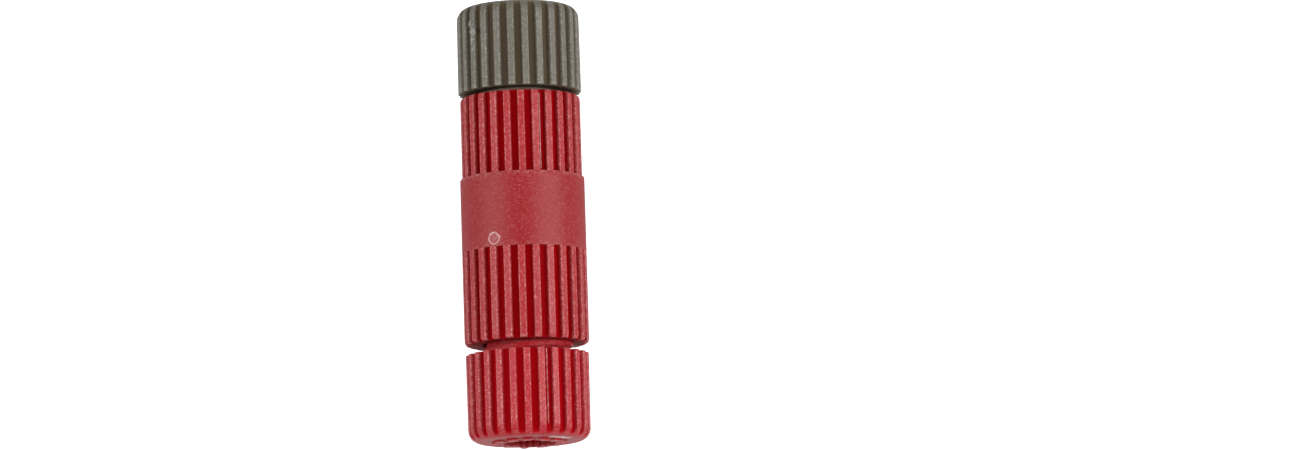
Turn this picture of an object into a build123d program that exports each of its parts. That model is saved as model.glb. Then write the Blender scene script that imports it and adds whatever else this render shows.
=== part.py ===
from build123d import *
import math
import os

# Inline screw-cap connector that joins two insulated wires without solder.
#
# A moulded body with a female thread in each end carries a double-pointed
# metal core.  A fluted cap screws into each end and holds a tapered coil.
# Turning a cap in drives its coil along the core's point, which clamps the
# stripped strands spread around that point.
#
# Frame: millimetres, origin on the connector's axis at the middle of the
# smooth band, +Y along the axis towards the upper cap, -Y towards the lower
# cap, +Z up.  Each end is drawn in its own frame, with +Z pointing out of
# that end, and is then turned into place.  Nothing is mirrored, so both
# threads stay right-handed.

# ---------------------------------------------------------------- body
BAND_RADIUS = 5.0
BAND_LENGTH = 6.0
UPPER_BARREL_RADIUS = 4.83
UPPER_BARREL_LENGTH = 6.6
LOWER_BARREL_RADIUS = 5.0
LOWER_BARREL_LENGTH = 7.4
BARREL_END_ROUND = 0.3
BARREL_FLUTE_START = 8.6       # angle of one land in each end's frame
WEB_THICKNESS = 1.6            # solid wall between the two sockets
SOCKET_LEAD_IN = 0.25          # 45 degree chamfer at a socket's mouth

# -------------------------------------------------------------- flutes
FLUTE_COUNT = 26
FLUTE_DEPTH = 0.45
FLUTE_TOP_SHARE = 0.53         # groove's share of the pitch at the land
FLUTE_FLOOR_SHARE = 0.43       # groove's share of the pitch at its floor
FLUTE_EDGE_ROUND = 0.05
CAP_FLUTE_TOP_SHARE = 0.57
CAP_FLUTE_FLOOR_SHARE = 0.40

# ---------------------------------------------------------------- caps
CAP_RIM_RADIUS = 4.95
CAP_END_RADIUS = 4.91
CAP_HEAD_LENGTH = 7.0
CAP_END_ROUND = 1.0
NOSE_LENGTH = 6.0
NOSE_TIP_CHAMFER = 0.35
UPPER_GAP = 0.36               # rim to barrel end, as the caps stand now
LOWER_GAP = 0.83

# ------------------------------------------------------------- threads
THREAD_PITCH = 1.5
THREAD_MAJOR_RADIUS = 3.70
THREAD_DEPTH = 0.45
THREAD_CREST_WIDTH = 0.40
THREAD_FLANK_ANGLE = 30.0
THREAD_RADIAL_CLEARANCE = 0.10
THREAD_AXIAL_CLEARANCE = 0.10
UPPER_THREAD_START = -2.6      # angle where the groove meets the barrel end
LOWER_THREAD_START = -12.8

# ----------------------------------------------------- wire path in a cap
WIRE_BORE_RADIUS = 1.75
FUNNEL_LENGTH = 0.85
THROAT_RADIUS = 0.90
THROAT_LENGTH = 0.60
MOUTH_RADIUS = 2.05
MOUTH_DEPTH = 0.55
CROWN_RADIUS = 3.0
CROWN_HEIGHT = 0.22
CROWN_TEETH = 26
CROWN_TOOTH_DEPTH = 0.22
CROWN_TOOTH_GAP_SHARE = 0.9    # V gap's share of the tooth pitch at the mouth
CROWN_LUGS = 13
CROWN_LUG_SHARE = 0.60
CROWN_LUG_DEPTH = 0.30

# ---------------------------------------------------------------- coil
COIL_WIRE_RADIUS = 0.28
COIL_PITCH = 0.8
COIL_TURNS = 5
COIL_WIDE_RADIUS = 1.70        # to the middle of the wire, body side
COIL_NARROW_RADIUS = 1.00      # to the middle of the wire, throat side
COIL_CLEARANCE = 0.08
COIL_LIP_OVERLAP = 0.12        # how far the snap-in lip stands over the coil
COIL_LIP_LENGTH = 0.15
COIL_POINTS_PER_TURN = 12

# ---------------------------------------------------------------- core
CORE_SHANK_RADIUS = 1.15
CORE_TIP_RADIUS = 0.12
CORE_CONE_ANGLE = 14.4
CORE_TIP_INSET = 2.0           # point to barrel end
CORE_COLLAR_RADIUS = 1.75      # corner radius of the six-sided collar
CORE_COLLAR_LENGTH = 0.8

# ---------------------------------------------------- values worked out
FLUTE_STEP = 360 / FLUTE_COUNT
UPPER_END = BAND_LENGTH / 2 + UPPER_BARREL_LENGTH
LOWER_END = BAND_LENGTH / 2 + LOWER_BARREL_LENGTH
WEB_MIDDLE = (UPPER_END - LOWER_END) / 2
THREAD_MINOR_RADIUS = THREAD_MAJOR_RADIUS - THREAD_DEPTH
THREAD_SLOPE = math.tan(math.radians(THREAD_FLANK_ANGLE))
SOCKET_RADIUS = THREAD_MINOR_RADIUS + THREAD_RADIAL_CLEARANCE
SOCKET_DEPTH = (UPPER_END + LOWER_END - WEB_THICKNESS) / 2
COIL_LENGTH = COIL_PITCH * COIL_TURNS + 2 * COIL_WIRE_RADIUS
COIL_SEAT_LENGTH = COIL_LENGTH + COIL_LIP_LENGTH + 2 * COIL_CLEARANCE
EXTRA = 1.0                    # how far a cutter runs past what it cuts
STANDING = (Align.CENTER, Align.CENTER, Align.MIN)

TOWARDS_UPPER = Rot(X=-90)     # an end's frame turned to face +Y
TOWARDS_LOWER = Rot(X=90)      # an end's frame turned to face -Y


def turned(points):
    """Solid turned about the Z axis from (radius, height) points."""
    outline = make_face(Polyline(*[(r, 0, z) for r, z in points], close=True))
    return revolve(outline, Axis.Z)


def rounded_post(rim_radius, end_radius, length, end_round):
    """Post from z = 0 to its length, with its far edge rounded."""
    outline = make_face(
        Polyline((0, 0, 0), (rim_radius, 0, 0), (end_radius, 0, length), (0, 0, length), close=True)
    )
    corner = outline.vertices().sort_by(Axis.Z)[-2:].sort_by(Axis.X)[-1]
    return revolve(fillet(corner, end_round), Axis.Z)


def fluted_disc(land_radius, top_share, floor_share):
    """Disc with straight-sided grooves cut into its edge, one land at angle 0."""
    floor_radius = land_radius - FLUTE_DEPTH
    top = math.radians(FLUTE_STEP * top_share / 2) * land_radius
    floor = math.radians(FLUTE_STEP * floor_share / 2) * floor_radius
    flare = (top - floor) / FLUTE_DEPTH
    outer = land_radius + EXTRA
    groove = Polygon(
        (floor_radius, -floor),
        (outer, -top - flare * EXTRA),
        (outer, top + flare * EXTRA),
        (floor_radius, floor),
        align=None,
    )
    grooves = [Rot(Z=(i + 0.5) * FLUTE_STEP) * groove for i in range(FLUTE_COUNT)]
    disc = Circle(land_radius) - grooves
    return fillet(disc.vertices(), FLUTE_EDGE_ROUND)


def fluted_post(post, land_radius, length, top_share, floor_share):
    """The post with grooves along its whole length."""
    return post & extrude(fluted_disc(land_radius, top_share, floor_share), length)


def helical_bar(root_radius, crest_radius, slack, low, high):
    """Thread-shaped bar wound about Z, crossing angle 0 at z = 0.

    The slack widens both flanks, so the same bar cuts the socket's groove.
    It is joined from single turns, each one swept by itself.
    """
    def half_width(radius):
        return THREAD_CREST_WIDTH / 2 + (THREAD_MAJOR_RADIUS - radius) * THREAD_SLOPE + slack

    section = make_face(
        Polyline(
            (root_radius, 0, -half_width(root_radius)),
            (crest_radius, 0, -half_width(crest_radius)),
            (crest_radius, 0, half_width(crest_radius)),
            (root_radius, 0, half_width(root_radius)),
            close=True,
        )
    )
    turn = sweep(section, Helix(THREAD_PITCH, THREAD_PITCH, crest_radius), is_frenet=True)
    first = math.floor(low / THREAD_PITCH) - 1
    last = math.ceil(high / THREAD_PITCH) + 1
    turns = [Pos(Z=i * THREAD_PITCH) * turn for i in range(first, last)]
    bar = turns[0].fuse(*turns[1:])
    keep = Pos(Z=(low + high) / 2) * Cylinder(crest_radius + EXTRA, high - low)
    return bar & keep


def barrel(radius, length):
    """One fluted end of the body, from the band's edge to the barrel's end."""
    post = rounded_post(radius, radius, length, BARREL_END_ROUND)
    return fluted_post(post, radius, length, FLUTE_TOP_SHARE, FLUTE_FLOOR_SHARE)


def socket(end, thread_start):
    """The bore and the thread groove that take one cap's nose, in that end's frame."""
    floor = end - SOCKET_DEPTH
    bore = turned(
        [(0, floor), (SOCKET_RADIUS, floor), (SOCKET_RADIUS, end - SOCKET_LEAD_IN),
         (SOCKET_RADIUS + SOCKET_LEAD_IN + EXTRA, end + EXTRA), (0, end + EXTRA)]
    )
    groove = helical_bar(
        SOCKET_RADIUS - THREAD_DEPTH / 2,
        THREAD_MAJOR_RADIUS + THREAD_RADIAL_CLEARANCE,
        THREAD_AXIAL_CLEARANCE,
        -NOSE_LENGTH - THREAD_PITCH / 2,
        EXTRA,
    )
    return [bore, Pos(Z=end) * Rot(Z=thread_start) * groove]


def core_end(end):
    """One pointed half of the core, from the web's middle, in that end's frame."""
    middle = end - SOCKET_DEPTH - WEB_THICKNESS / 2
    tip = end - CORE_TIP_INSET
    run = (CORE_SHANK_RADIUS - CORE_TIP_RADIUS) / math.tan(math.radians(CORE_CONE_ANGLE))
    return turned(
        [(0, middle), (CORE_SHANK_RADIUS, middle), (CORE_SHANK_RADIUS, tip - run),
         (CORE_TIP_RADIUS, tip), (0, tip)]
    )


def make_contact_core():
    """Double-pointed core with a six-sided collar that keys it in the web."""
    hexagon = RegularPolygon(CORE_COLLAR_RADIUS, 6)
    collar = extrude(hexagon, CORE_COLLAR_LENGTH / 2, both=True)
    core = TOWARDS_UPPER * core_end(UPPER_END) + TOWARDS_LOWER * core_end(LOWER_END)
    return core + Pos(Y=WEB_MIDDLE) * TOWARDS_UPPER * collar


def make_center_body(core):
    """Band, two fluted barrels, a threaded socket in each, and the core's seat."""
    band = TOWARDS_UPPER * Cylinder(BAND_RADIUS, BAND_LENGTH)
    seat = Rot(Z=BARREL_FLUTE_START)
    lift = Pos(Z=BAND_LENGTH / 2)
    upper = TOWARDS_UPPER * lift * seat * barrel(UPPER_BARREL_RADIUS, UPPER_BARREL_LENGTH)
    lower = TOWARDS_LOWER * lift * seat * barrel(LOWER_BARREL_RADIUS, LOWER_BARREL_LENGTH)
    body = band + upper + lower
    for cutter in socket(UPPER_END, UPPER_THREAD_START):
        body = body - TOWARDS_UPPER * cutter
    for cutter in socket(LOWER_END, LOWER_THREAD_START):
        body = body - TOWARDS_LOWER * cutter
    return body - core


def wire_path():
    """What is cut through a cap: mouth, wire bore, funnel, throat, coil seat."""
    top = CAP_HEAD_LENGTH + CROWN_HEIGHT
    seat_low = -NOSE_LENGTH
    seat_high = seat_low + COIL_SEAT_LENGTH
    throat_high = seat_high + THROAT_LENGTH
    funnel_high = throat_high + FUNNEL_LENGTH
    wide = COIL_WIDE_RADIUS + COIL_WIRE_RADIUS + COIL_CLEARANCE
    narrow = COIL_NARROW_RADIUS + COIL_WIRE_RADIUS + COIL_CLEARANCE
    lip = COIL_WIDE_RADIUS + COIL_WIRE_RADIUS - COIL_LIP_OVERLAP
    flare = (MOUTH_RADIUS - WIRE_BORE_RADIUS) / MOUTH_DEPTH
    wide_z = seat_low + COIL_LIP_LENGTH
    return turned(
        [(0, seat_low - EXTRA), (lip, seat_low - EXTRA), (lip, wide_z), (wide, wide_z),
         (wide, wide_z + COIL_CLEARANCE + 2 * COIL_WIRE_RADIUS), (narrow, seat_high),
         (THROAT_RADIUS, seat_high), (THROAT_RADIUS, throat_high),
         (WIRE_BORE_RADIUS, funnel_high), (WIRE_BORE_RADIUS, top - MOUTH_DEPTH),
         (MOUTH_RADIUS + flare * EXTRA, top + EXTRA), (0, top + EXTRA)]
    )


def crown():
    """Low ring round the wire entry, notched outside and toothed inside."""
    ring = Pos(Z=CAP_HEAD_LENGTH) * Cylinder(CROWN_RADIUS, CROWN_HEIGHT, align=STANDING)
    step = 360 / CROWN_LUGS
    notch_width = math.radians(step * (1 - CROWN_LUG_SHARE)) * CROWN_RADIUS
    notch = Pos(CROWN_RADIUS, 0, CAP_HEAD_LENGTH + EXTRA / 2) * Box(
        2 * CROWN_LUG_DEPTH, notch_width, EXTRA
    )
    return ring - [Rot(Z=i * step) * notch for i in range(CROWN_LUGS)]


def tooth_gaps():
    """V-shaped gaps cut into the mouth's edge."""
    step = 360 / CROWN_TEETH
    top = CAP_HEAD_LENGTH + CROWN_HEIGHT
    half = math.radians(step / 2) * MOUTH_RADIUS * CROWN_TOOTH_GAP_SHARE
    deepest = MOUTH_RADIUS + CROWN_TOOTH_DEPTH
    gap = Polygon((WIRE_BORE_RADIUS, -half), (deepest, 0), (WIRE_BORE_RADIUS, half), align=None)
    cutter = extrude(Pos(Z=top - MOUTH_DEPTH) * gap, MOUTH_DEPTH + EXTRA)
    return [Rot(Z=(i + 0.5) * step) * cutter for i in range(CROWN_TEETH)]


def nose():
    """Male-threaded nose below the rim, with a chamfered tip."""
    length = NOSE_LENGTH
    post = Pos(Z=-length) * Cylinder(THREAD_MINOR_RADIUS, length + EXTRA, align=STANDING)
    ridge = helical_bar(
        THREAD_MINOR_RADIUS - THREAD_DEPTH / 2, THREAD_MAJOR_RADIUS, 0, -length, THREAD_PITCH / 2
    )
    tip = THREAD_MAJOR_RADIUS - NOSE_TIP_CHAMFER
    wide = THREAD_MAJOR_RADIUS + EXTRA
    envelope = turned(
        [(0, -length), (tip, -length), (wide, -length + wide - tip), (wide, EXTRA), (0, EXTRA)]
    )
    return (post + ridge) & envelope


def make_cap():
    """Fluted head with its threaded nose, in the cap's own frame."""
    post = rounded_post(CAP_RIM_RADIUS, CAP_END_RADIUS, CAP_HEAD_LENGTH, CAP_END_ROUND)
    head = fluted_post(
        post, CAP_RIM_RADIUS, CAP_HEAD_LENGTH, CAP_FLUTE_TOP_SHARE, CAP_FLUTE_FLOOR_SHARE
    )
    return head + nose() + crown() - wire_path() - tooth_gaps()


def make_coil():
    """Tapered coil, in the cap's own frame, wide end towards the nose tip."""
    low = -NOSE_LENGTH + COIL_LIP_LENGTH + COIL_CLEARANCE + COIL_WIRE_RADIUS
    steps = COIL_TURNS * COIL_POINTS_PER_TURN
    points = []
    for i in range(steps + 1):
        angle = 2 * math.pi * i / COIL_POINTS_PER_TURN
        radius = COIL_WIDE_RADIUS + (COIL_NARROW_RADIUS - COIL_WIDE_RADIUS) * i / steps
        height = low + COIL_PITCH * i / COIL_POINTS_PER_TURN
        points.append((radius * math.cos(angle), radius * math.sin(angle), height))
    path = Spline(*points)
    section = Plane(path @ 0, z_dir=path % 0) * Circle(COIL_WIRE_RADIUS)
    return sweep(section, path, is_frenet=True)


def placed(piece, towards, end, gap, thread_start):
    """A cap or coil screwed into one end until its rim stands off by the gap."""
    turn = thread_start + 360 * gap / THREAD_PITCH
    return towards * Pos(Z=end + gap) * Rot(Z=turn) * piece


def main():
    """Build every piece and write one STEP file for each."""
    core = make_contact_core()
    cap = make_cap()
    coil = make_coil()
    upper = (TOWARDS_UPPER, UPPER_END, UPPER_GAP, UPPER_THREAD_START)
    lower = (TOWARDS_LOWER, LOWER_END, LOWER_GAP, LOWER_THREAD_START)
    pieces = {
        "center_body": make_center_body(core),
        "contact_core": core,
        "upper_cap": placed(cap, *upper),
        "lower_cap": placed(cap, *lower),
        "upper_helix": placed(coil, *upper),
        "lower_helix": placed(coil, *lower),
    }
    os.makedirs("parts", exist_ok=True)
    for name, piece in pieces.items():
        export_step(piece, f"parts/{name}.step")


main()
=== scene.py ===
import math
import bpy
import numpy as np
from mathutils import Matrix, Vector


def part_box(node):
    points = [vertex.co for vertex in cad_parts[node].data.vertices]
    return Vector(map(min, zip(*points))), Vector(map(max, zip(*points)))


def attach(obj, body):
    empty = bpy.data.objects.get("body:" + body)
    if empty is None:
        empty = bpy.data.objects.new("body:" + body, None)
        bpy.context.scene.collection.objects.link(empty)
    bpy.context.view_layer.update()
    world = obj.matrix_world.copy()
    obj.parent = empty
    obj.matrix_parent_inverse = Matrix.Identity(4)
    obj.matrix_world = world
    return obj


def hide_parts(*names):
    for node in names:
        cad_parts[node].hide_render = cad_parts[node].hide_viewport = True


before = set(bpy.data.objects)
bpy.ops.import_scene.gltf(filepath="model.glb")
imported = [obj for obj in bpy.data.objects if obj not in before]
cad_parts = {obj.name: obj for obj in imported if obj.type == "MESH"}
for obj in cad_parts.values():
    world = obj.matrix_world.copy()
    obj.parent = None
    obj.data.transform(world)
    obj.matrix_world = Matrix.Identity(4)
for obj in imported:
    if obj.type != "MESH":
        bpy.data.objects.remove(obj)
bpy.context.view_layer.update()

# Sizes are in millimetres unless a comment says otherwise.  A shape is made in
# an end's own frame: z points out of that end along the axis, and angle 0 lies
# along +X.  It is turned into metres in the shared frame when its mesh is made.
MM = 0.001

# ------------------------------------------------ sizes shared with the frame
FLUTES = 26
STEP = 2 * math.pi / FLUTES
FLUTE_DEPTH = 0.45
BAND_RADIUS = 5.0
BAND_HALF = 3.0
UPPER_RADIUS = 4.83
LOWER_RADIUS = 5.0
BARREL_END_ROUND = 0.3
WEB_THICKNESS = 1.6  # solid wall between the two sockets
BARREL_START = math.radians(8.6)  # angle of one land in each end's frame

# threads, with half the widths of their crests and roots along the axis
PITCH = 1.5
MALE_MAJOR, MALE_MINOR = 3.70, 3.25
FEMALE_MAJOR, FEMALE_MINOR = 3.80, 3.35
MALE_CREST_HALF, MALE_ROOT_HALF = 0.20, 0.46
FEMALE_CREST_HALF, FEMALE_ROOT_HALF = 0.242, 0.502
THREAD_RUN = 6.75  # length of the thread cut in a socket
THREAD_ROW = 0.125  # distance between the rows of a threaded wall
LEAD_IN = 0.25

# seat of the contact core in the web
CORE_SHANK, CORE_COLLAR = 1.15, 1.5
COLLAR_HALF = 0.4

# caps, from the rim at z = 0
HEAD = 7.0
NOSE = 6.0
RIM_RADIUS, END_RADIUS = 4.95, 4.91
END_ROUND = 1.0
TIP_CHAMFER = 0.35
CROWN_RADIUS, CROWN_HEIGHT = 3.0, 0.22
CROWN_NOTCH = 0.45
MOUTH_RADIUS, MOUTH_DEPTH, TOOTH_DEPTH = 2.05, 0.55, 0.22
BORE = 1.75
THROAT, THROAT_LENGTH = 0.90, 0.60
FUNNEL_LENGTH = 0.85

# coils, with radii to the middle of the wire
COIL_TURNS, COIL_PITCH, COIL_WIRE = 5.0, 0.8, 0.28
COIL_WIDE, COIL_NARROW = 1.70, 1.00
COIL_CLEARANCE = 0.08
LIP_LENGTH, LIP_OVERLAP = 0.15, 0.12
COIL_RISE = COIL_TURNS * COIL_PITCH
LIP_TOP = LIP_LENGTH - NOSE
SEAT_TOP = LIP_TOP + 2 * COIL_CLEARANCE + COIL_RISE + 2 * COIL_WIRE
THROAT_TOP = SEAT_TOP + THROAT_LENGTH
FUNNEL_TOP = THROAT_TOP + FUNNEL_LENGTH

# where each thread starts at its barrel's end
UPPER_START, LOWER_START = math.radians(-2.6), math.radians(-12.8)

# The crown's notches, as (middle, width) in degrees round the cap: the moulded
# lugs between them are uneven.
CROWN_NOTCHES = (
    (4, 10), (31, 13), (62, 9), (86, 14), (117, 9), (141, 12), (170, 10),
    (196, 14), (226, 9), (252, 12), (279, 10), (309, 15), (338, 8),
)

# painted reflections: pale patches on the end faces, where they mirror the white floor, as (middle,
# half width) in degrees
CAP_REFLECTION_PATCH = (45, 17)
BODY_REFLECTION_PATCH = (32, 11)

# places read from the frame
body_low, body_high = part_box("center_body")
UPPER_END = body_high.y / MM
LOWER_END = -body_low.y / MM
UPPER_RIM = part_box("upper_cap")[1].y / MM - CROWN_HEIGHT - HEAD
LOWER_RIM = -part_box("lower_cap")[0].y / MM - CROWN_HEIGHT - HEAD
UPPER_TURN = UPPER_START + 2 * math.pi * (UPPER_RIM - UPPER_END) / PITCH
LOWER_TURN = LOWER_START + 2 * math.pi * (LOWER_RIM - LOWER_END) / PITCH


# ------------------------------------------------------------ shape helpers
def soft_clip(x, low_blend, high_blend=None):
    """x held between 0 and 1, with each corner rounded over its blend."""
    def bend(v, blend):
        return np.where(v < -blend, 0, np.where(v > blend, v, (v + blend) ** 2 / (4 * blend)))
    return bend(x, low_blend) - bend(x - 1, low_blend if high_blend is None else high_blend)


def lower_of(a, b, blend):
    """The smaller of two outlines, with the corner between them rounded."""
    gap = np.clip((a - b) / blend, -1, 1)
    return np.minimum(a, b) - blend * (1 - np.abs(gap)) ** 2 / 4


class Flutes:
    """The columns of a fluted ring, how deep the groove is at each, and its marks.

    Places round the ring are in flutes: top and floor are the groove's width at
    the land and at its floor, and the rounds soften the wall's two corners.
    """

    def __init__(self, top, floor, corner_round, foot_round):
        corner, foot = (1 - top) / 2, (1 - floor) / 2
        half = [corner * 0.5, corner - corner_round, corner - 0.55 * corner_round,
                corner - 0.15 * corner_round, corner + 0.35 * corner_round,
                (corner + foot) / 2 + 0.1 * corner_round,
                foot - foot_round, foot, foot + foot_round]
        places = np.array([0.0] + half + [0.5] + [1 - h for h in reversed(half)])
        self.u = np.concatenate([places + i for i in range(FLUTES)])
        near = np.abs((self.u + 0.5) % 1 - 0.5)
        wall = foot - corner
        self.shape = soft_clip((near - corner) / wall, corner_round / wall, foot_round / wall)
        self.depth = FLUTE_DEPTH * self.shape
        self.angle = self.u * STEP
        self.land = 1 - soft_clip(self.shape / 0.8, 0.2)
        # painted highlight, with scuffing, along each land's rounded corners
        self.edge = np.exp(-((near - corner + 0.03) / 0.03) ** 2)


def thread(angle, z, start, crest_half, root_half):
    """0 at a thread's root and 1 on its crest, for a right-handed thread."""
    along = (z / PITCH - (angle - start) / (2 * math.pi) + 0.5) % 1 - 0.5
    return soft_clip((root_half - np.abs(along) * PITCH) / (root_half - crest_half), 0.15)


def painted_reflection_patch(angle, middle, half_width):
    """1 in the middle of a patch of angles, falling to 0 at its sides."""
    away = np.abs((angle - middle + math.pi) % (2 * math.pi) - math.pi)
    return soft_clip((half_width - away) / math.radians(4) + 0.5, 0.3)


def toward_upper(x, y, z):
    return np.stack([x, z, -y], axis=-1)


def toward_lower(x, y, z):
    return np.stack([x, -z, y], axis=-1)


class Outline:
    """Rows of a ring mesh, each with its angles, radii, heights and surface marks."""

    MARKS = ("land", "edge", "pale_reflection_and_scuff")

    def __init__(self, angle):
        self.angle = angle
        self.rows = []

    def add(self, radius, height, land=0.0, edge=0.0, pale_reflection_and_scuff=0.0, turn=0.0):
        values = (self.angle + turn, radius, height, land, edge, pale_reflection_and_scuff)
        self.rows.append(np.array([np.broadcast_to(v, self.angle.shape) for v in values]))

    def mesh(self, name, place, turn=0.0, lift=0.0):
        """Closed mesh: rows are joined end to end, and each row round to its start."""
        angle, radius, height, *marks = np.stack(self.rows, axis=1)
        x, y = radius * np.cos(angle + turn), radius * np.sin(angle + turn)
        points = place(x, y, height + lift).reshape(-1, 3) * MM
        n, m = angle.shape
        i, j = np.meshgrid(np.arange(n), np.arange(m), indexing="ij")
        below, right = (i + 1) % n, (j + 1) % m
        quads = np.stack([i * m + j, i * m + right, below * m + right, below * m + j], axis=-1)
        return finished_mesh(name, points, quads.reshape(-1, 4), dict(zip(self.MARKS, marks)))


def finished_mesh(name, points, faces, marks=None, sharp=38):
    """A smooth-shaded object from points in metres, with named point values."""
    mesh = bpy.data.meshes.new(name)
    mesh.from_pydata(points.tolist(), [], [tuple(face) for face in faces])
    for key, values in (marks or {}).items():
        layer = mesh.attributes.new(key, "FLOAT", "POINT")
        layer.data.foreach_set("value", np.ascontiguousarray(values, dtype=np.float32).ravel())
    mesh.shade_smooth()
    mesh.set_sharp_from_angle(angle=math.radians(sharp))
    piece = bpy.data.objects.new(name, mesh)
    bpy.context.scene.collection.objects.link(piece)
    weighted = piece.modifiers.new("weighted_normals", "WEIGHTED_NORMAL")
    weighted.keep_sharp = True
    return piece


# ---------------------------------------------------------------- caps
CAP_FLUTES = Flutes(0.57, 0.40, corner_round=0.065, foot_round=0.035)


def crown_lugs(angle):
    """1 on a lug of the crown and 0 in a notch, with sloping sides."""
    lug = np.ones_like(angle)
    for middle, width in CROWN_NOTCHES:
        away = np.abs((angle - math.radians(middle) + math.pi) % (2 * math.pi) - math.pi)
        lug = np.minimum(lug, soft_clip((away - math.radians(width) / 2) / 0.035 + 0.5, 0.2))
    return lug


def cap_outline():
    """The cap from its nose tip, over the head and back through the bore."""
    f = CAP_FLUTES
    cap = Outline(f.angle)
    steps = round(NOSE / THREAD_ROW)
    for z in np.linspace(-NOSE, 0, steps + 1):
        ridge = thread(f.angle, z, 0, MALE_CREST_HALF, MALE_ROOT_HALF)
        radius = MALE_MINOR + (MALE_MAJOR - MALE_MINOR) * ridge
        chamfer = MALE_MAJOR - TIP_CHAMFER + (z + NOSE)
        # painted glint: a light line along the thread's flanks
        thread_flank_glint = 1.6 * ridge * (1 - ridge)
        cap.add(np.minimum(radius, chamfer), z, 0.3, thread_flank_glint)
    # rim, with a painted highlight along its rounded corner
    outline = RIM_RADIUS - f.depth
    cap.add(MALE_MAJOR + 0.2, 0)
    cap.add(outline - 0.06, 0, 0.3 * f.land)
    cap.add(outline - 0.018, 0.015, f.land, 0.7 * f.land)
    cap.add(outline, 0.06, f.land, np.maximum(f.edge, 0.4 * f.land))
    # straight part of the head
    slope = (END_RADIUS - RIM_RADIUS) / HEAD
    straight = HEAD - END_ROUND
    for z in np.linspace(0.3, straight, 6):
        cap.add(np.minimum(RIM_RADIUS + slope * z, outline), z, f.land, f.edge)
    # rounded end, which the grooves run out into
    centre = RIM_RADIUS + slope * straight - END_ROUND
    for a in np.radians(np.linspace(4, 90, 24)):
        dome = centre + END_ROUND * math.cos(a)
        over = soft_clip((dome - outline) / 0.25 + 0.5, 0.2)
        cap.add(
            lower_of(dome, outline, 0.06), straight + END_ROUND * math.sin(a),
            f.land * over + (1 - over) * 0.75, f.edge * over,
        )
    # painted reflection: a pale patch on the cap's end face
    middle, half_width = np.radians(CAP_REFLECTION_PATCH)
    patch = painted_reflection_patch(f.angle, middle - LOWER_TURN, half_width)
    cap.add(centre, HEAD, 0.75, 0, patch)
    cap.add(CROWN_RADIUS + 0.12, HEAD, 0.6, 0, patch)
    # crown, with painted glints along the lugs' and teeth's top rims
    lug = crown_lugs(f.angle)
    outer = CROWN_RADIUS - CROWN_NOTCH * (1 - lug)
    ripple = 0.025 * np.sin(5 * f.angle + 1.0) + 0.02 * np.sin(11 * f.angle)
    top = HEAD + CROWN_HEIGHT
    crest = top - 0.045 + ripple
    saddle = crest - 0.14 * (1 - lug)
    cap.add(outer + 0.015, HEAD, 0.3)
    cap.add(outer, HEAD + 0.02, 0.2)
    cap.add(outer, saddle - 0.04, 0.2, 0.1)
    cap.add(outer - 0.04, saddle, 0.8, 0.7)
    tooth = 1 - np.abs((f.u % 1) - 0.5) * 2
    deep = MOUTH_RADIUS + TOOTH_DEPTH * tooth
    cap.add(deep + 0.15, crest, 0.7, 0.1)
    cap.add(deep + 0.03, crest, 0.8, 0.9)
    low = top - MOUTH_DEPTH
    cap.add(deep, crest - 0.04, 0.5, 0.4)
    cone = np.maximum(BORE, BORE + (MOUTH_RADIUS + TOOTH_DEPTH - BORE) * tooth)
    cap.add(np.maximum(cone, BORE + 0.03), low + 0.02)
    cap.add(cone, low)
    # wire bore, funnel, throat, coil seat and snap-in lip
    ease = 0.02  # how far a row stands from the corner that it softens
    seat_narrow = COIL_NARROW + COIL_WIRE + COIL_CLEARANCE
    seat_wide = COIL_WIDE + COIL_WIRE + COIL_CLEARANCE
    taper_end = SEAT_TOP - COIL_RISE
    lip = COIL_WIDE + COIL_WIRE - LIP_OVERLAP
    tip_face = 2.6  # a row across the nose's flat end
    for radius, z in (
        (BORE + 0.005, low - 0.01), (BORE, low - 0.1), (BORE, HEAD / 2),
        (BORE, FUNNEL_TOP + ease), (BORE - ease, FUNNEL_TOP - ease),
        (THROAT + ease, THROAT_TOP + ease), (THROAT, THROAT_TOP - 1.5 * ease),
        (THROAT, SEAT_TOP + ease), (THROAT + ease, SEAT_TOP),
        (seat_narrow - ease, SEAT_TOP), (seat_narrow, SEAT_TOP - ease),
        (COIL_WIDE, (SEAT_TOP + taper_end + ease) / 2),
        (seat_wide - ease / 2, taper_end + ease), (seat_wide, taper_end - 3.5 * ease),
        (seat_wide, LIP_TOP + ease), (seat_wide - ease, LIP_TOP),
        (lip + ease, LIP_TOP), (lip, LIP_TOP - ease),
        (lip, ease - NOSE), (lip + ease, -NOSE),
        (tip_face, -NOSE), (MALE_MINOR - TIP_CHAMFER, -NOSE),
    ):
        cap.add(radius, z)
    return cap


# ---------------------------------------------------------------- body
BODY_FLUTES = Flutes(0.53, 0.43, corner_round=0.04, foot_round=0.015)


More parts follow.
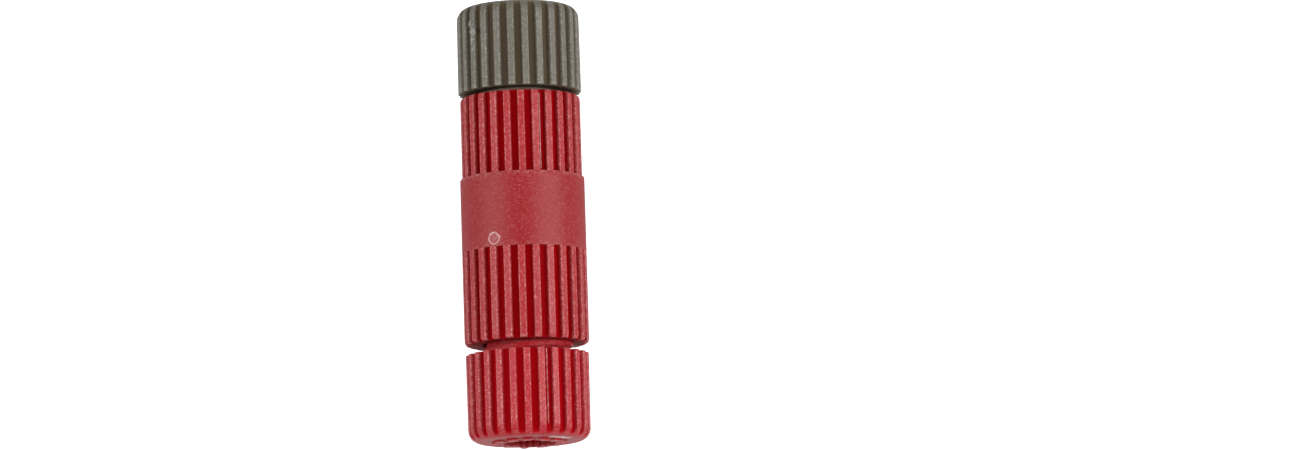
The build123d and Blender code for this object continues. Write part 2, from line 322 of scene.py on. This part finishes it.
def body_outline():
    """The body from its lower end up to its upper end, and back through the sockets."""
    f = BODY_FLUTES
    body = Outline(f.angle)
    span = UPPER_END + LOWER_END
    upper_turn = BARREL_START
    lower_turn = -BARREL_START + round(2 * BARREL_START / STEP) * STEP

    def twist(z):
        """The columns lean from the lower end's flutes to the upper end's."""
        return lower_turn + (upper_turn - lower_turn) * (z + LOWER_END) / span

    def barrel(radius, end, turn, sense):
        """One barrel's rows, from its end face to the band."""
        outline = radius - f.depth
        # painted reflection: a pale patch on the lower end face
        patch = painted_reflection_patch(f.angle + turn, *np.radians(BODY_REFLECTION_PATCH)) if sense < 0 else 0.0
        rows = [
            (FEMALE_MINOR + LEAD_IN + 0.1, end, 0.3, 0.0, patch),
            (outline - BARREL_END_ROUND - 0.1, end, 0.3, 0.0, patch),
        ]
        # rounded end, with a painted highlight on the lands' rounded feet
        for a in np.radians(np.linspace(90, 0, 7)):
            rounded = radius - BARREL_END_ROUND * (1 - math.cos(a))
            height = end - BARREL_END_ROUND * (1 - math.sin(a))
            edge = np.maximum(f.edge, 0.75 * math.sin(a) * f.land)
            rows.append((lower_of(rounded, outline, 0.04), height, f.land, edge, 0.0))
        for height in np.linspace(end - BARREL_END_ROUND - 0.2, BAND_HALF + 0.12, 6):
            rows.append((outline, height, f.land, f.edge, 0.0))
        rows.append((outline + 0.03 * f.shape, BAND_HALF + 0.03, f.land, f.edge, 0.0))
        rows.append((outline + 0.07 * f.shape, BAND_HALF, f.land, f.edge, 0.0))
        return [(radius, sense * height, *marks, turn) for radius, height, *marks in rows]

    for row in barrel(LOWER_RADIUS, LOWER_END, lower_turn, -1):
        body.add(*row)
    plain = 0.5
    # the band's two rims carry a painted highlight
    body.add(BAND_RADIUS - 0.04 * f.shape, 0.004 - BAND_HALF, plain, 0.5 * f.shape, 0, lower_turn)
    body.add(BAND_RADIUS, 0.05 - BAND_HALF, plain, 0.3 * f.shape, 0, lower_turn)
    for share in (0.06, 0.3, 0.5, 0.7, 0.94):
        turn = lower_turn + (upper_turn - lower_turn) * share
        body.add(BAND_RADIUS, BAND_HALF * (2 * share - 1), plain, 0, 0, turn)
    body.add(BAND_RADIUS, BAND_HALF - 0.06, plain, 0.5, 0, upper_turn)
    body.add(BAND_RADIUS - 0.02, BAND_HALF - 0.018, plain, 0.8, 0, upper_turn)
    body.add(BAND_RADIUS - 0.06, BAND_HALF, plain, 0.4, 0, upper_turn)
    for row in reversed(barrel(UPPER_RADIUS, UPPER_END, upper_turn, 1)):
        body.add(*row)

    def socket(end, start, sense):
        """Threaded wall from the mouth to the socket's floor."""
        depth = (span - WEB_THICKNESS) / 2
        rows = [(FEMALE_MINOR + LEAD_IN + 0.02, sense * end)]
        for down in np.linspace(0, THREAD_RUN, round(THREAD_RUN / THREAD_ROW) + 1)[1:]:
            z = end - down
            angle = f.angle + twist(sense * z)
            groove = thread(sense * angle, -down, start, FEMALE_CREST_HALF, FEMALE_ROOT_HALF)
            groove = groove * soft_clip((THREAD_RUN - down) / 0.2, 0.1)
            radius = FEMALE_MINOR + (FEMALE_MAJOR - FEMALE_MINOR) * groove
            rows.append((np.maximum(radius, FEMALE_MINOR + LEAD_IN - down), sense * z))
        for radius, down in ((FEMALE_MINOR, THREAD_RUN + 0.05), (FEMALE_MINOR, depth - 0.03),
                             (FEMALE_MINOR - 0.03, depth)):
            rows.append((radius, sense * (end - down)))
        return rows

    web, half = (UPPER_END - LOWER_END) / 2, WEB_THICKNESS / 2
    core_seat = [
        (CORE_SHANK + 0.02, half), (CORE_SHANK, half - 0.03),
        (CORE_SHANK, COLLAR_HALF), (CORE_COLLAR, COLLAR_HALF),
        (CORE_COLLAR, -COLLAR_HALF), (CORE_SHANK, -COLLAR_HALF),
        (CORE_SHANK, 0.03 - half), (CORE_SHANK + 0.02, -half),
    ]
    inner = socket(UPPER_END, UPPER_START, 1)
    inner += [(radius, web + z) for radius, z in core_seat]
    inner += reversed(socket(LOWER_END, LOWER_START, -1))
    for radius, z in inner:
        body.add(radius, z, turn=twist(z))
    return body


# ---------------------------------------------------------------- coils
def make_coil(name, place, rim, turn):
    """Tapered coil of round wire with softened ends."""
    low = -NOSE + LIP_LENGTH + COIL_CLEARANCE + COIL_WIRE
    steps_per_turn, spokes = 56, 20
    along = np.linspace(0, 1, int(COIL_TURNS * steps_per_turn) + 1)
    a = along * COIL_TURNS * 2 * math.pi
    reach = COIL_WIDE + (COIL_NARROW - COIL_WIDE) * along
    middle = np.stack([reach * np.cos(a), reach * np.sin(a), low + along * COIL_RISE], -1)
    ahead = np.gradient(middle, axis=0)
    ahead /= np.linalg.norm(ahead, axis=1)[:, None]
    out = np.stack([np.cos(a), np.sin(a), 0 * a], -1)
    out -= (out * ahead).sum(1)[:, None] * ahead
    out /= np.linalg.norm(out, axis=1)[:, None]
    side = np.cross(ahead, out)
    around = np.linspace(0, 2 * math.pi, spokes, endpoint=False)[None, :, None]
    size = np.full(len(along), COIL_WIRE)
    size[0] = size[-1] = COIL_WIRE * 0.86
    spoke = np.cos(around) * out[:, None] + np.sin(around) * side[:, None]
    tube = middle[:, None] + spoke * size[:, None, None]
    n, m = tube.shape[:2]
    faces = [
        (i * m + j, i * m + (j + 1) % m, (i + 1) * m + (j + 1) % m, (i + 1) * m + j)
        for i in range(n - 1) for j in range(m)
    ]
    faces.append(tuple(reversed(range(m))))
    faces.append(tuple((n - 1) * m + j for j in range(m)))
    points = tube.reshape(-1, 3)
    c, s = math.cos(turn), math.sin(turn)
    x = points[:, 0] * c - points[:, 1] * s
    y = points[:, 0] * s + points[:, 1] * c
    return finished_mesh(name, place(x, y, points[:, 2] + rim) * MM, faces, sharp=50)


# ------------------------------------------------- small moulding marks
class Marks:
    """Closed lumps and ridges on the outside, gathered into one piece.

    A place is given by its angle round the axis from straight up towards +X,
    in degrees, and its distance along the axis, in millimetres.
    """

    def __init__(self, seed):
        self.random = np.random.default_rng(seed)
        self.points, self.faces, self.edge = [], [], []

    def _take(self, grid, edge):
        """Join a grid of rings, each a loop with its own scuffing and painted highlight, and close
        both ends.
        """
        start = len(self.points)
        n, m = grid.shape[:2]
        self.edge += np.broadcast_to(edge, (m, n)).T.ravel().tolist()
        angle, y, radius = np.radians(grid[..., 0]), grid[..., 1], grid[..., 2]
        places = np.stack([radius * np.sin(angle), y, radius * np.cos(angle)], -1)
        self.points += places.reshape(-1, 3).tolist()
        for i in range(n - 1):
            for j in range(m):
                k = (j + 1) % m
                quad = (i * m + j, i * m + k, (i + 1) * m + k, (i + 1) * m + j)
                self.faces.append(tuple(start + corner for corner in quad))
        self.faces.append(tuple(start + j for j in reversed(range(m))))
        self.faces.append(tuple(start + (n - 1) * m + j for j in range(m)))

    def lump(self, angle, y, radius, size, height, stretch=1.0, dish=0.0, rough=0.12):
        """A low lumpy disc standing on a surface of the given radius, dished if asked."""
        spokes = 22
        around = np.linspace(0, 2 * math.pi, spokes, endpoint=False)
        wobble = 1 + rough * np.convolve(self.random.normal(size=spokes), (0.25, 0.5, 0.25), "same")
        flat = 0.9 - 0.8 * min(dish, 1)
        # each ring's reach, height, and scuffing with a painted highlight: heights are shares, and
        # below 0 millimetres
        rings = [
            (1.0, -0.06, 0), (1.0, 0.0, 0.1), (0.93, 0.6, 0.6), (0.84, 1.0, 1),
            (0.72, 1.0 - 0.6 * dish, 0.5), (0.60, 1.0 - dish, 0.1), (0.50, 1.0 - 0.3 * dish, flat),
            (0.36, 1.0 - dish, 0.1), (0.20, 1.0 - 0.2 * dish, flat), (0.05, 1.0 - dish, 0.2),
        ]
        grid = []
        for reach, rise, _ in rings:
            across = size * reach * wobble * np.cos(around)
            along = size * reach * wobble * np.sin(around) * stretch
            up = radius + (height * rise if rise >= 0 else rise)
            if rise > 0.3:
                up = up + height * 0.35 * self.random.normal(size=spokes) * reach
            round_axis = angle + np.degrees(across / radius)
            grid.append(np.stack([round_axis, y + along, up + 0 * across], -1))
        self._take(np.array(grid), [scuff_and_highlight for *_, scuff_and_highlight in rings])

    def ridge(self, angle, y_low, y_high, radius, width, height):
        """A thin uneven ridge along the axis."""
        n = int((y_high - y_low) / 0.09)
        y = np.linspace(y_low, y_high, n)
        tall = height * np.clip(0.55 + 0.45 * self.random.normal(size=n), 0.12, 1.0)
        sway = np.degrees(0.012 * self.random.normal(size=n) / radius)
        half = np.degrees(width / 2 / radius)
        loop = []
        profile = ((-1, -0.05), (-0.8, 0.0), (-0.25, 1.0), (0.25, 1.0), (0.8, 0.0), (1, -0.05))
        for side, rise in profile:
            up = radius + np.where(rise > 0, tall, rise)
            round_axis = angle + side * half + (sway if rise > 0 else 0 * y)
            loop.append(np.stack([round_axis, y, up], -1))
        self._take(np.array(loop).transpose(1, 0, 2), 0.8)

    def piece(self, name):
        points = np.array(self.points) * MM
        edge = np.array(self.edge)
        # the marks' scuffs carry a painted highlight, and are painted paler still
        marks = {"land": np.full(len(points), 0.6), "edge": edge, "pale_reflection_and_scuff": 0.6 * edge}
        return finished_mesh(name, points, self.faces, marks, sharp=70)


# ------------------------------------------------------------- materials
# sizes of the surface's patterns, in cells per metre
GRAIN, SCUFF, CLOUD = 9000, 2600, 500
TIN_GRAIN, FLOOR_CLOUD = 5000, 40

# moulded plastic: the grooves' roughness, and the shine of grooves and lands
GROOVE_ROUGHNESS = 0.55
GROOVE_SHINE, LAND_SHINE = 0.02, 0.30

# the floor's glow, as light on the connector and as the camera sees it
FLOOR_GLOW, FLOOR_GLOW_SEEN = 0.05, 1.1


def new_material(name):
    material = bpy.data.materials.new(name)
    material.use_nodes = True
    nodes, links = material.node_tree.nodes, material.node_tree.links
    return material, nodes, links, nodes["Principled BSDF"]


def noise(nodes, links, coordinates, scale, detail=2.0):
    node = nodes.new("ShaderNodeTexNoise")
    node.inputs["Scale"].default_value = scale
    node.inputs["Detail"].default_value = detail
    links.new(coordinates.outputs["Object"], node.inputs["Vector"])
    return node.outputs["Fac"]


def grains(nodes, links, coordinates, scale):
    """A random value for each small cell, like the grain of a frosted mould."""
    node = nodes.new("ShaderNodeTexVoronoi")
    node.inputs["Scale"].default_value = scale
    links.new(coordinates.outputs["Object"], node.inputs["Vector"])
    split = nodes.new("ShaderNodeSeparateColor")
    links.new(node.outputs["Color"], split.inputs["Color"])
    return split.outputs["Red"]


def attribute(nodes, name):
    node = nodes.new("ShaderNodeAttribute")
    node.attribute_name = name
    return node.outputs["Fac"]


def ramp(nodes, links, source, low, high, to_low=0.0, to_high=1.0):
    node = nodes.new("ShaderNodeMapRange")
    ends = {"From Min": low, "From Max": high, "To Min": to_low, "To Max": to_high}
    for key, value in ends.items():
        node.inputs[key].default_value = value
    links.new(source, node.inputs["Value"])
    return node.outputs["Result"]


def maths(nodes, links, kind, a, b):
    node = nodes.new("ShaderNodeMath")
    node.operation = kind
    for socket, value in zip(node.inputs, (a, b)):
        if isinstance(value, (int, float)):
            socket.default_value = value
        else:
            links.new(value, socket)
    return node.outputs[0]


def mix(nodes, links, factor, a, b):
    node = nodes.new("ShaderNodeMix")
    node.data_type = "RGBA"
    links.new(factor, node.inputs["Factor"])
    for key, value in (("A", a), ("B", b)):
        socket = [s for s in node.inputs if s.name == key and s.type == "RGBA"][0]
        if isinstance(value, tuple):
            socket.default_value = (*value, 1)
        else:
            links.new(value, socket)
    return [s for s in node.outputs if s.type == "RGBA"][0]


def moulded_plastic(name, deep, plain, land, highlight_colour, rough_land):
    """Moulded plastic: smooth in the grooves, frosted and scuffed on the lands, with a painted
    sheen on the frosted grain.

    The mesh's "land" value is 0 in grooves, 0.5 on plain faces and 1 on lands; its second value is
    a scuffed line with a painted highlight along a land's edges and on rims, and its third a paler
    patch: a painted reflection on the end faces, and paler scuffs on the moulding marks.
    """
    material, nodes, links, shader = new_material(name)
    place = nodes.new("ShaderNodeTexCoord")
    on_land = attribute(nodes, "land")
    edge = attribute(nodes, "edge")
    pale_reflection_and_scuff = attribute(nodes, "pale_reflection_and_scuff")
    grain = grains(nodes, links, place, GRAIN)
    coarse = noise(nodes, links, place, SCUFF)
    cloud = noise(nodes, links, place, CLOUD)
    base = mix(nodes, links, ramp(nodes, links, on_land, 0, 0.5), deep, plain)
    base = mix(nodes, links, ramp(nodes, links, on_land, 0.5, 1), base, land)
    # painted sheen: the frosted lands are speckled paler, as their grain mirrors the white
    # surroundings
    frosted = maths(nodes, links, "MULTIPLY", ramp(nodes, links, grain, 0.6, 1.0), on_land)
    base = mix(nodes, links, maths(nodes, links, "MULTIPLY", frosted, 0.34), base, highlight_colour)
    # painted highlight, with scuffing, along the lands' corners and on rims
    scuff_and_highlight = maths(nodes, links, "MULTIPLY", ramp(nodes, links, grain, 0.3, 1.0, 0.2, 1.0), edge)
    scuff_and_highlight = maths(nodes, links, "MULTIPLY", scuff_and_highlight, ramp(nodes, links, coarse, 0.35, 0.6, 0.3, 1.0))
    base = mix(nodes, links, scuff_and_highlight, base, highlight_colour)
    # painted reflection: a paler patch on the end faces, and paler scuffs on the moulding marks
    pale = maths(nodes, links, "MULTIPLY", pale_reflection_and_scuff, ramp(nodes, links, coarse, 0.3, 0.6, 0.3, 1.0))
    base = mix(nodes, links, pale, base, tuple(0.6 + 0.4 * c for c in highlight_colour))
    base = mix(nodes, links, ramp(nodes, links, cloud, 0.35, 0.65, 0.0, 0.10), base, deep)
    links.new(base, shader.inputs["Base Color"])
    rough = ramp(nodes, links, on_land, 0, 0.6, GROOVE_ROUGHNESS, rough_land)
    rough = maths(nodes, links, "ADD", rough, ramp(nodes, links, grain, 0, 1, -0.06, 0.06))
    links.new(rough, shader.inputs["Roughness"])
    bump = nodes.new("ShaderNodeBump")
    bump.inputs["Distance"].default_value = 0.00002
    links.new(maths(nodes, links, "ADD", grain, coarse), bump.inputs["Height"])
    links.new(ramp(nodes, links, on_land, 0, 1, 0.05, 0.45), bump.inputs["Strength"])
    links.new(bump.outputs["Normal"], shader.inputs["Normal"])
    shine = ramp(nodes, links, on_land, 0, 0.5, GROOVE_SHINE, LAND_SHINE)
    links.new(shine, shader.inputs["Specular IOR Level"])
    return material


def tinned_metal(name, colour, rough):
    material, nodes, links, shader = new_material(name)
    place = nodes.new("ShaderNodeTexCoord")
    fine = noise(nodes, links, place, TIN_GRAIN, 3)
    dull = tuple(0.72 * c for c in colour)
    base = mix(nodes, links, ramp(nodes, links, fine, 0.4, 0.7), colour, dull)
    links.new(base, shader.inputs["Base Color"])
    roughness = ramp(nodes, links, fine, 0.3, 0.7, rough - 0.06, rough + 0.10)
    links.new(roughness, shader.inputs["Roughness"])
    shader.inputs["Metallic"].default_value = 1.0
    return material


def plain_floor():
    """White paper that glows a little, as on a light table."""
    material, nodes, links, shader = new_material("pale_floor")
    place = nodes.new("ShaderNodeTexCoord")
    cloud = noise(nodes, links, place, FLOOR_CLOUD)
    base = mix(nodes, links, cloud, (0.56, 0.56, 0.56), (0.60, 0.60, 0.60))
    links.new(base, shader.inputs["Base Color"])
    shader.inputs["Roughness"].default_value = 0.9
    shader.inputs["Specular IOR Level"].default_value = 0.2
    shader.inputs["Emission Color"].default_value = (1, 1, 1, 1)
    path = nodes.new("ShaderNodeLightPath")
    glow = ramp(nodes, links, path.outputs["Is Camera Ray"], 0, 1, FLOOR_GLOW, FLOOR_GLOW_SEEN)
    links.new(glow, shader.inputs["Emission Strength"])
    return material


red_body = moulded_plastic(
    "red_nylon", rough_land=0.40,
    deep=(0.350, 0.0005, 0.003), plain=(0.330, 0.011, 0.016),
    land=(0.430, 0.022, 0.028), highlight_colour=(0.74, 0.30, 0.29),
)
red_cap = moulded_plastic(
    "red_cap_nylon", rough_land=0.40,
    deep=(0.400, 0.0005, 0.004), plain=(0.360, 0.010, 0.018),
    land=(0.490, 0.024, 0.034), highlight_colour=(0.80, 0.34, 0.33),
)
grey_cap = moulded_plastic(
    "grey_nylon", rough_land=0.42,
    deep=(0.105, 0.080, 0.050), plain=(0.140, 0.124, 0.094),
    land=(0.172, 0.158, 0.124), highlight_colour=(0.42, 0.41, 0.36),
)
tin = tinned_metal("tin_plate", (0.80, 0.79, 0.76), 0.24)
spring = tinned_metal("coil_wire", (0.74, 0.72, 0.68), 0.28)

# ---------------------------------------------------------------- pieces
cap = cap_outline()
body = body_outline().mesh("body_shell", toward_upper)
grey = cap.mesh("grey_cap_shell", toward_upper, UPPER_TURN, UPPER_RIM)
red = cap.mesh("red_cap_shell", toward_lower, LOWER_TURN, LOWER_RIM)
upper_coil = make_coil("upper_coil_wire", toward_upper, UPPER_RIM, UPPER_TURN)
lower_coil = make_coil("lower_coil_wire", toward_lower, LOWER_RIM, LOWER_TURN)
for piece, rides_on, node, slot, material in (
    (body, "body", "center_body", "red_body", red_body),
    (grey, "upper_screw_cap", "upper_cap", "grey_cap", grey_cap),
    (red, "lower_screw_cap", "lower_cap", "red_cap", red_cap),
    (upper_coil, "upper_coil", "upper_helix", "coil_wire", spring),
    (lower_coil, "lower_coil", "lower_helix", "coil_wire", spring),
):
    piece.data.materials.append(material)
    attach(piece, rides_on)
    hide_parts(node)
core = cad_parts["contact_core"]
for slot in core.material_slots:
    slot.material = tin

# gate scars, a small ring and the flash left along the mould's two parting lines
PARTING = 19.5
FLASH_WIDTH = 0.07

body_marks = Marks(1)
body_marks.lump(-27.5, -2.37, BAND_RADIUS - 0.008, 0.56, 0.034, dish=0.85)
body_marks.lump(79, -LOWER_END + 0.12, LOWER_RADIUS - 0.06, 0.16, 0.07)
for side, height in ((PARTING, 0.08), (PARTING - 180, 0.05)):
    low, high = BAND_HALF + 0.1, UPPER_END - 0.35
    body_marks.ridge(side, low, high, UPPER_RADIUS - 0.03, FLASH_WIDTH, height)

grey_marks = Marks(2)
for angle, above_rim, sunk, size, height, stretch in (
    (-48.0, 5.27, 0.06, 0.24, 0.13, 1.3),
    (-46.0, 4.63, 0.06, 0.29, 0.12, 1.0),
    (-47.8, 3.9, 0.05, 0.10, 0.10, 2.5),
    (-47.6, 3.2, 0.05, 0.09, 0.10, 2.0),
    (22, 0.42, 0.05, 0.10, 0.06, 2.2),
    (36, 0.38, 0.05, 0.08, 0.06, 2.2),
):
    grey_marks.lump(angle, UPPER_RIM + above_rim, RIM_RADIUS - sunk, size, height, stretch)

red_marks = Marks(3)
for side, height in ((PARTING, 0.13), (PARTING - 180, 0.10)):
    low, high = -LOWER_RIM - HEAD + 0.9, -LOWER_RIM - 0.1
    red_marks.ridge(side, low, high, RIM_RADIUS - 0.15, FLASH_WIDTH, height)
red_marks.lump(-55, -LOWER_RIM - 6.25, RIM_RADIUS - FLUTE_DEPTH, 0.17, 0.03, dish=1.3, rough=0.04)

for name, marks, rides_on, slot, material in (
    ("body_moulding_marks", body_marks, "body", "red_body", red_body),
    ("grey_cap_moulding_marks", grey_marks, "upper_screw_cap", "grey_cap", grey_cap),
    ("red_cap_moulding_marks", red_marks, "lower_screw_cap", "red_cap", red_cap),
):
    piece = marks.piece(name)
    piece.data.materials.append(material)
    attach(piece, rides_on)

# ----------------------------------------------------------------- stage
# places and sizes here are in metres, and the lights' powers in watts
FLOOR_HALF, FLOOR_GAP = 0.6, 0.00001
WORLD_STRENGTH = 0.34
LIGHT_DISTANCE = 0.5
SIDE_SIZE, FRONT_SIZE = (0.10, 0.5), (0.3, 0.2)

corners = [(-FLOOR_HALF, -FLOOR_HALF, 0), (FLOOR_HALF, -FLOOR_HALF, 0),
           (FLOOR_HALF, FLOOR_HALF, 0), (-FLOOR_HALF, FLOOR_HALF, 0)]
floor_mesh = bpy.data.meshes.new("floor")
floor_mesh.from_pydata(corners, [], [(0, 1, 2, 3)])
floor = bpy.data.objects.new("floor", floor_mesh)
floor.location.z = body_low.z - FLOOR_GAP
bpy.context.scene.collection.objects.link(floor)
floor_mesh.materials.append(plain_floor())

world = bpy.data.worlds.new("studio")
bpy.context.scene.world = world
world.use_nodes = True
world.node_tree.nodes["Background"].inputs["Color"].default_value = (1, 1, 1, 1)
world.node_tree.nodes["Background"].inputs["Strength"].default_value = WORLD_STRENGTH


def softbox(name, place, size, power):
    """A rectangular light that points at the origin."""
    data = bpy.data.lights.new(name, "AREA")
    data.shape = "RECTANGLE"
    data.size, data.size_y = size
    data.energy = power
    light = bpy.data.objects.new(name, data)
    light.location = place
    light.rotation_euler = (-Vector(place)).to_track_quat("-Z", "Y").to_euler()
    bpy.context.scene.collection.objects.link(light)


def beside(angle):
    """A light's place beside the connector, at an angle from straight up towards +X."""
    a = math.radians(angle)
    return (LIGHT_DISTANCE * math.sin(a), 0.0, LIGHT_DISTANCE * math.cos(a))


softbox("left_softbox", beside(-54), SIDE_SIZE, 1.30)
softbox("front_softbox", (0.05, -0.5, 0.22), FRONT_SIZE, 0.55)
softbox("right_softbox", beside(48), SIDE_SIZE, 1.78)

# ---------------------------------------------------------------- camera
CAMERA_DISTANCE = 575
CAMERA_LENS, SENSOR_WIDTH = 198.3, 36
CAMERA_ELEVATION, CAMERA_ROLL = math.radians(81.5), math.radians(1.82)
LEFT_OF_MIDDLE, ABOVE_MIDDLE = 10.17, 0.70  # where the connector sits in the picture
back = Vector((0, -math.cos(CAMERA_ELEVATION), math.sin(CAMERA_ELEVATION)))
level = Vector((1, 0, 0))
upright = back.cross(level)
right = level * math.cos(CAMERA_ROLL) - upright * math.sin(CAMERA_ROLL)
up = upright * math.cos(CAMERA_ROLL) + level * math.sin(CAMERA_ROLL)
camera_data = bpy.data.cameras.new("camera")
camera_data.sensor_width = SENSOR_WIDTH
camera_data.lens = CAMERA_LENS
camera_data.clip_start, camera_data.clip_end = 0.01, 10  # metres
camera = bpy.data.objects.new("camera", camera_data)
camera.matrix_world = Matrix.Translation(
    (back * CAMERA_DISTANCE + right * LEFT_OF_MIDDLE - up * ABOVE_MIDDLE) * MM
) @ Matrix((right, up, back)).transposed().to_4x4()
bpy.context.scene.collection.objects.link(camera)
bpy.context.scene.camera = camera
bpy.context.scene.view_settings.view_transform = "Standard"
